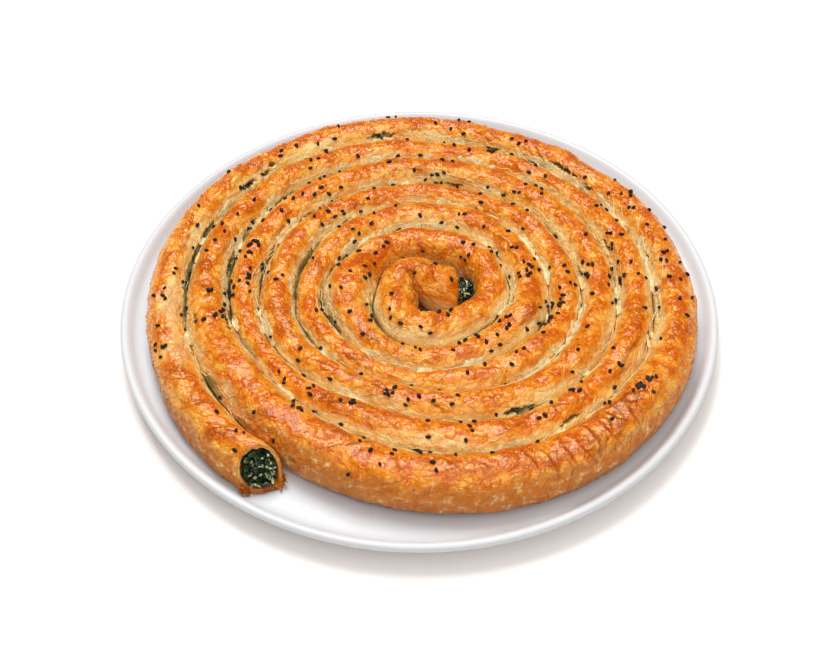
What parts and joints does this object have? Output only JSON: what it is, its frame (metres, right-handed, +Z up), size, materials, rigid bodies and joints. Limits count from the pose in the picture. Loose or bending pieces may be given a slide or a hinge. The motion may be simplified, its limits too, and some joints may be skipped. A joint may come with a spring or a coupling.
{
  "type": "spanakopita pie",
  "caption": "Coiled phyllo roll filled with spinach and feta, golden and seeded, laid flat as a round pie on its white serving plate.",
  "frame": {"origin": "middle of the plate's foot, on the surface that it stands on", "axes": "+Z up; +X to the right and -Y to the front, where the roll's cut outer end lies front left"},
  "size_m": [0.35, 0.35, 0.0415],
  "materials": {
    "plate_glaze": "smooth white gloss glaze",
    "baked_phyllo": "baked phyllo pastry, egg-washed, golden orange with browned patches and paler flanks",
    "spinach_filling": "wet chopped spinach with crumbled feta",
    "black_seeds": "small black seeds, satin"
  },
  "bodies": {
    "root": {"serving_plate": "plate_glaze", "pastry_coil": "baked_phyllo", "spinach_filling": "spinach_filling"}
  },
  "joints": []
}
